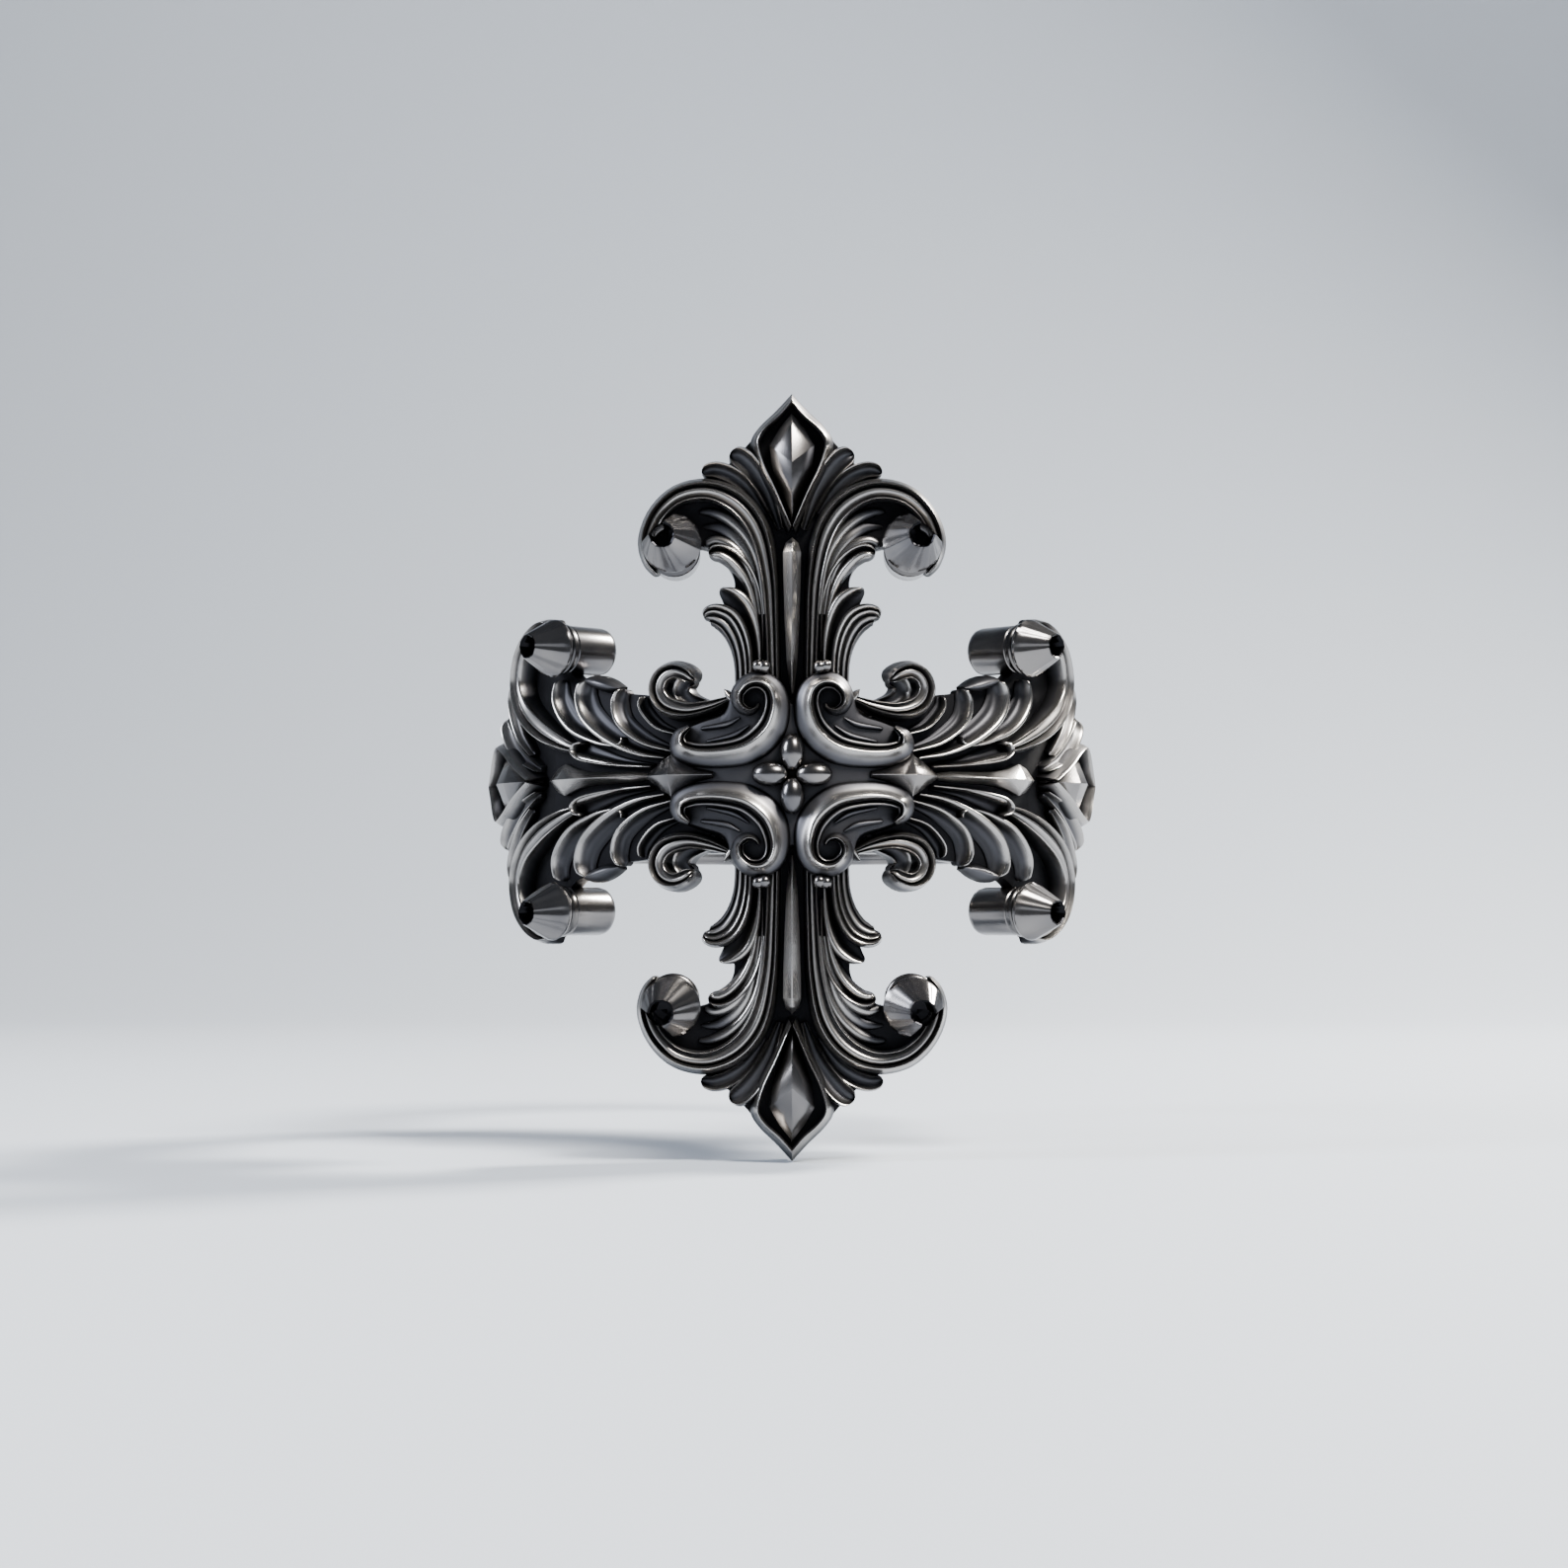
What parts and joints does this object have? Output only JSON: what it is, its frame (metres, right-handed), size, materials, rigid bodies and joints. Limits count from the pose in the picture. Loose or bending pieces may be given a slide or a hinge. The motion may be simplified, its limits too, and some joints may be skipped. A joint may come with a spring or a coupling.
{
  "type": "finger ring",
  "caption": "Finger ring whose face is a large foliate cross of scrolls, leaves, spears and turned posts, in oxidised silver.",
  "frame": {"origin": "centre of the finger bore, on the finger's axis, half way along the hoop", "axes": "+Z along the finger towards the upper end of the cross, -Y the way the cross faces, +X the cross's right as it is looked at"},
  "size_m": [0.0248, 0.0248, 0.0286],
  "materials": {
    "band_silver": "polished sterling silver",
    "turned_silver": "bright turned sterling silver",
    "polished_silver": "sterling silver, relief polished after oxidising",
    "oxidised_silver": "sterling silver, oxidised in the hollows and rubbed bright on the crests",
    "blackened_silver": "sterling silver, left black from oxidising"
  },
  "bodies": {
    "root": {"centre_boss": "blackened_silver", "centre_scroll_lower_left": "oxidised_silver", "centre_scroll_lower_right": "oxidised_silver", "centre_scroll_upper_left": "oxidised_silver", "centre_scroll_upper_right": "oxidised_silver", "finger_band": "band_silver", "grain_buds": "polished_silver", "hook_scroll_lower_left": "oxidised_silver", "hook_scroll_lower_right": "oxidised_silver", "hook_scroll_upper_left": "oxidised_silver", "hook_scroll_upper_right": "oxidised_silver", "left_collar_spear": "polished_silver", "left_tip_frame": "oxidised_silver", "left_tip_leaves": "oxidised_silver", "left_tip_spear": "polished_silver", "left_wing_plate": "blackened_silver", "left_wing_ridge": "oxidised_silver", "lower_lance": "oxidised_silver", "lower_tip_frame": "oxidised_silver", "lower_tip_leaves": "oxidised_silver", "lower_tip_spear": "polished_silver", "quatrefoil_beads": "polished_silver", "right_collar_spear": "polished_silver", "right_tip_frame": "oxidised_silver", "right_tip_leaves": "oxidised_silver", "right_tip_spear": "polished_silver", "right_wing_plate": "blackened_silver", "right_wing_ridge": "oxidised_silver", "upper_lance": "oxidised_silver", "upper_tip_frame": "oxidised_silver", "upper_tip_leaves": "oxidised_silver", "upper_tip_spear": "polished_silver", "upright_leaves_lower_left": "oxidised_silver", "upright_leaves_lower_right": "oxidised_silver", "upright_leaves_upper_left": "oxidised_silver", "upright_leaves_upper_right": "oxidised_silver", "upright_plate": "blackened_silver", "upright_post_lower_left": "turned_silver", "upright_post_lower_right": "turned_silver", "upright_post_upper_left": "turned_silver", "upright_post_upper_right": "turned_silver", "upright_scroll_lower_left": "oxidised_silver", "upright_scroll_lower_right": "oxidised_silver", "upright_scroll_upper_left": "oxidised_silver", "upright_scroll_upper_right": "oxidised_silver", "wing_leaves_lower_left": "oxidised_silver", "wing_leaves_lower_right": "oxidised_silver", "wing_leaves_upper_left": "oxidised_silver", "wing_leaves_upper_right": "oxidised_silver", "wing_post_lower_left": "turned_silver", "wing_post_lower_right": "turned_silver", "wing_post_upper_left": "turned_silver", "wing_post_upper_right": "turned_silver", "wing_scroll_lower_left": "oxidised_silver", "wing_scroll_lower_right": "oxidised_silver", "wing_scroll_upper_left": "oxidised_silver", "wing_scroll_upper_right": "oxidised_silver"}
  },
  "joints": []
}
